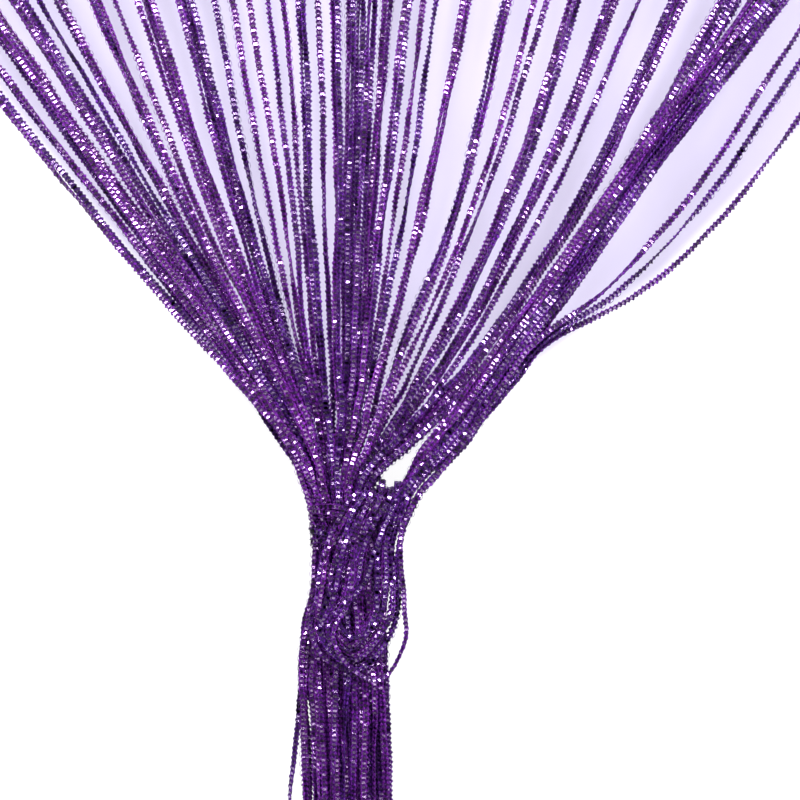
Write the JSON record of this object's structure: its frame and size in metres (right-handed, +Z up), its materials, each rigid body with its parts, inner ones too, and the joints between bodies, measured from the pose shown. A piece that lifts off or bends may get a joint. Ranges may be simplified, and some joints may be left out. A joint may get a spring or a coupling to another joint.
{
  "type": "string curtain",
  "caption": "Metallic knitted string curtain on a woven heading tape, its strings drawn into one neck by a slip knot of their own with a hanging loop and a long loose tail.",
  "frame": {"origin": "middle of the heading tape's top edge", "axes": "+Z up, +X along the heading to the right as seen from the front, -Y towards the viewer"},
  "size_m": [1, 0.0356, 2.001],
  "materials": {
    "yarn": "knitted purple yarn with metallic film, glittering",
    "tape": "matt woven tape"
  },
  "bodies": {
    "root": {"heading_tape": "tape", "main_strings": "yarn", "wrap_strings": "yarn"}
  },
  "joints": []
}
